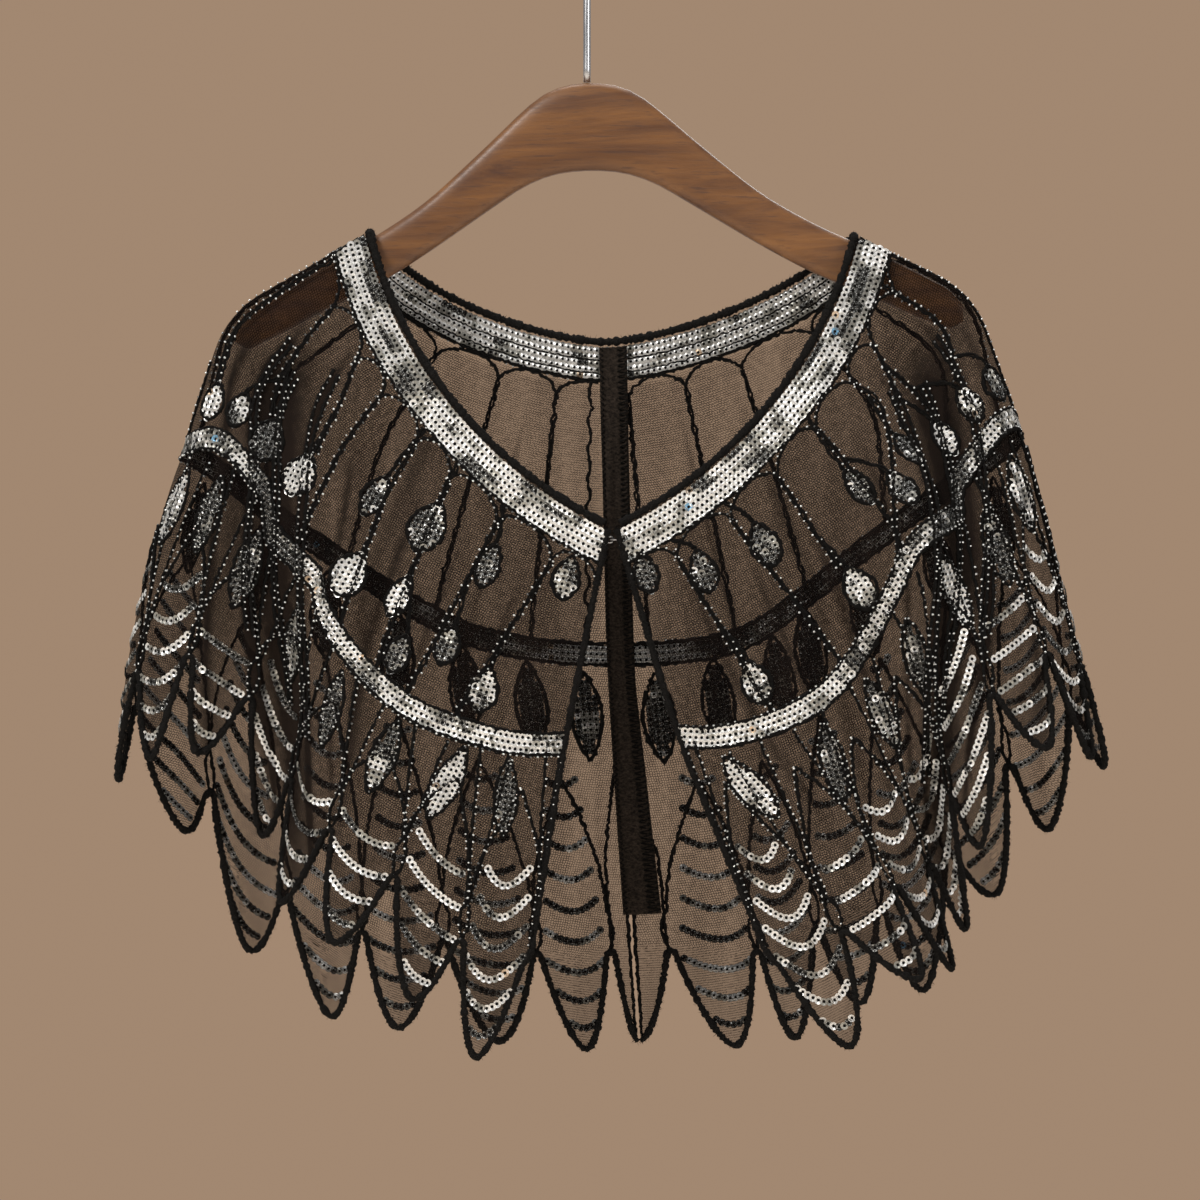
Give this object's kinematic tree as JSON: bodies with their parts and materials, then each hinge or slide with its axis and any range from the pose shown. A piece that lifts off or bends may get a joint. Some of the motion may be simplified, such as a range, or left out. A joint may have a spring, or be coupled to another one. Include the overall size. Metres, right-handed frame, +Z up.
{
  "type": "sequin capelet on a wooden hanger",
  "caption": "Sheer net capelet with sequinned neck and yoke bands and a pointed corded hem, hung on a contoured wooden clothes hanger with a wire hook.",
  "frame": {"origin": "inside top of the hanger's hook, where it rests on a rod", "axes": "+Z up, front of the capelet towards -Y, +X to the right of the picture; the rod would run along Y"},
  "size_m": [0.5446, 0.1785, 0.6307],
  "materials": {
    "net": "black sheer net",
    "cord": "fuzzy black cord and edging",
    "sequins": "rows of small silver sequins on net",
    "wood": "satin varnish",
    "wire": "plain bright wire"
  },
  "bodies": {
    "root": {"body_left": "net", "body_right": "net", "back_seam": "cord", "neck_band_left": "sequins", "neck_band_right": "sequins", "yoke_band_left": "sequins", "yoke_band_right": "sequins", "neck_binding": "cord", "edge_cord_left": "cord", "edge_cord_right": "cord", "clasp_hook": "wire", "clasp_eye": "wire", "hanger_wood": "wood", "hanger_wire": "wire"}
  },
  "joints": []
}
